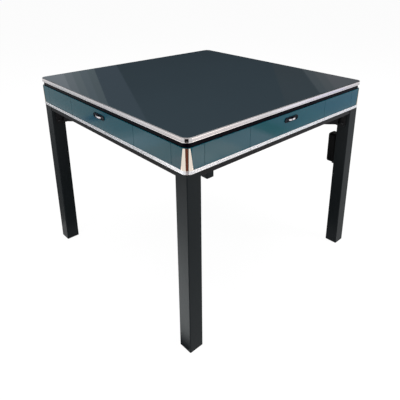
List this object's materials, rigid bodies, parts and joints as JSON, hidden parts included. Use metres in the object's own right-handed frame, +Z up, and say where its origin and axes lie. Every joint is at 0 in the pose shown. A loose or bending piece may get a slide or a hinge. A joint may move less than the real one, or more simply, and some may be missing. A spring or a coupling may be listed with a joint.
{
  "type": "mahjong table with drawers",
  "caption": "Square four-legged automatic game table with a lift-off dining cover, a drawer in each side and a tile shuffler inside.",
  "frame": {"origin": "on the floor under the middle of the table", "axes": "+Z up, -Y the front side, +X to the right; the power adapter hangs on the front right leg"},
  "size_m": [0.954, 0.954, 0.76],
  "materials": {
    "top_glass": "dark slate glass, painted on the back, polished",
    "cover_wood": "sealed board",
    "band_aluminium": "satin with two bright beads",
    "pad_rubber": "matt",
    "rim_black": "gloss black",
    "board_wood": "plain board",
    "green_cloth": "short pile",
    "teal_panel": "high gloss lacquer",
    "post_metal": "polished champagne",
    "trim_aluminium": "extruded, fine lengthwise ribs",
    "leg_steel": "satin charcoal powder coat",
    "base_steel": "satin black powder coat",
    "bolt_steel": "dark zinc",
    "foot_plastic": "matt",
    "apron_wood": "dark laminate",
    "drawer_plastic": "fine texture",
    "pull_dark": "gloss",
    "guide_plastic": "slippery",
    "lift_plastic": "matt",
    "bowl_plastic": "matt",
    "disc_plastic": "matt",
    "column_steel": "zinc plated",
    "motor_steel": "satin",
    "pulley_aluminium": "turned",
    "belt_rubber": "matt",
    "console_plastic": "gloss",
    "clear_dome": "clear",
    "dice_white": "gloss",
    "button_plastic": "gloss",
    "electronics": "board and metal box",
    "adapter_plastic": "fine texture"
  },
  "bodies": {
    "table": {"rim_frame": "rim_black", "playing_board": "board_wood", "playing_cloth": "green_cloth", "apron_boards": "apron_wood", "side_panels": "teal_panel", "corner_posts": "post_metal", "lower_trim": "trim_aluminium", "base_pan": "base_steel", "base_frame": "base_steel", "cross_frame": "base_steel", "leg_brackets": "base_steel", "frame_bolts": "bolt_steel", "foot_caps": "foot_plastic", "drawer_guides": "guide_plastic", "lift_guides": "guide_plastic", "shuffle_bowl": "bowl_plastic", "disc_motor": "motor_steel", "drive_belt": "belt_rubber", "console_column": "column_steel", "console_housing": "console_plastic", "dice_dome": "clear_dome", "dice": "dice_white", "power_electronics": "electronics", "adapter_housing": "adapter_plastic", "adapter_cradle": "base_steel", "leg_front_left": "leg_steel", "leg_front_right": "leg_steel", "leg_back_left": "leg_steel", "leg_back_right": "leg_steel"},
    "cover": {"cover_glass": "top_glass", "cover_board": "cover_wood", "cover_edge_band": "band_aluminium", "cover_pads": "pad_rubber"},
    "shuffle_disc": {"shuffle_disc": "disc_plastic"},
    "motor_shaft": {"motor_pulley": "pulley_aluminium"},
    "drawer_front": {"drawer_face_front": "teal_panel", "drawer_trim_front": "trim_aluminium", "drawer_box_front": "drawer_plastic", "drawer_pull_front": "pull_dark"},
    "lift_front": {"lift_board_front": "lift_plastic"},
    "button_front": {"console_button_front": "button_plastic"},
    "drawer_right": {"drawer_face_right": "teal_panel", "drawer_trim_right": "trim_aluminium", "drawer_box_right": "drawer_plastic", "drawer_pull_right": "pull_dark"},
    "lift_right": {"lift_board_right": "lift_plastic"},
    "button_right": {"console_button_right": "button_plastic"},
    "drawer_back": {"drawer_face_back": "teal_panel", "drawer_trim_back": "trim_aluminium", "drawer_box_back": "drawer_plastic", "drawer_pull_back": "pull_dark"},
    "lift_back": {"lift_board_back": "lift_plastic"},
    "button_back": {"console_button_back": "button_plastic"},
    "drawer_left": {"drawer_face_left": "teal_panel", "drawer_trim_left": "trim_aluminium", "drawer_box_left": "drawer_plastic", "drawer_pull_left": "pull_dark"},
    "lift_left": {"lift_board_left": "lift_plastic"},
    "button_left": {"console_button_left": "button_plastic"}
  },
  "joints": [
    {"name": "cover_lift", "type": "slide", "parent": "table", "child": "cover", "axis": [0, 0, 1], "range_m": [0, 0.2]},
    {"name": "drawer_front_slide", "type": "slide", "parent": "table", "child": "drawer_front", "axis": [0, -1, 0], "range_m": [0, 0.098]},
    {"name": "drawer_right_slide", "type": "slide", "parent": "table", "child": "drawer_right", "axis": [1, 0, 0], "range_m": [0, 0.098]},
    {"name": "drawer_back_slide", "type": "slide", "parent": "table", "child": "drawer_back", "axis": [0, 1, 0], "range_m": [0, 0.098]},
    {"name": "drawer_left_slide", "type": "slide", "parent": "table", "child": "drawer_left", "axis": [-1, 0, 0], "range_m": [0, 0.098]},
    {"name": "disc_spin", "type": "hinge", "parent": "table", "child": "shuffle_disc", "pos_m": [0, 0, 0.674], "axis": [0, 0, 1], "continuous": true},
    {"name": "motor_spin", "type": "hinge", "parent": "table", "child": "motor_shaft", "pos_m": [-0.3945, -0.3945, 0.653], "axis": [0, 0, 1], "continuous": true},
    {"name": "lift_front_travel", "type": "slide", "parent": "table", "child": "lift_front", "axis": [0, 0, 1], "range_m": [-0.042, 0]},
    {"name": "lift_right_travel", "type": "slide", "parent": "table", "child": "lift_right", "axis": [0, 0, 1], "range_m": [-0.042, 0]},
    {"name": "lift_back_travel", "type": "slide", "parent": "table", "child": "lift_back", "axis": [0, 0, 1], "range_m": [-0.042, 0]},
    {"name": "lift_left_travel", "type": "slide", "parent": "table", "child": "lift_left", "axis": [0, 0, 1], "range_m": [-0.042, 0]},
    {"name": "button_front_press", "type": "slide", "parent": "table", "child": "button_front", "axis": [0, 0, 1], "range_m": [-0.0015, 0], "stiffness_N_per_m": 400},
    {"name": "button_right_press", "type": "slide", "parent": "table", "child": "button_right", "axis": [0, 0, 1], "range_m": [-0.0015, 0], "stiffness_N_per_m": 400},
    {"name": "button_back_press", "type": "slide", "parent": "table", "child": "button_back", "axis": [0, 0, 1], "range_m": [-0.0015, 0], "stiffness_N_per_m": 400},
    {"name": "button_left_press", "type": "slide", "parent": "table", "child": "button_left", "axis": [0, 0, 1], "range_m": [-0.0015, 0], "stiffness_N_per_m": 400}
  ],
  "couplings": [
    {"joint": "motor_spin", "follows": "disc_spin", "ratio": 5}
  ]
}
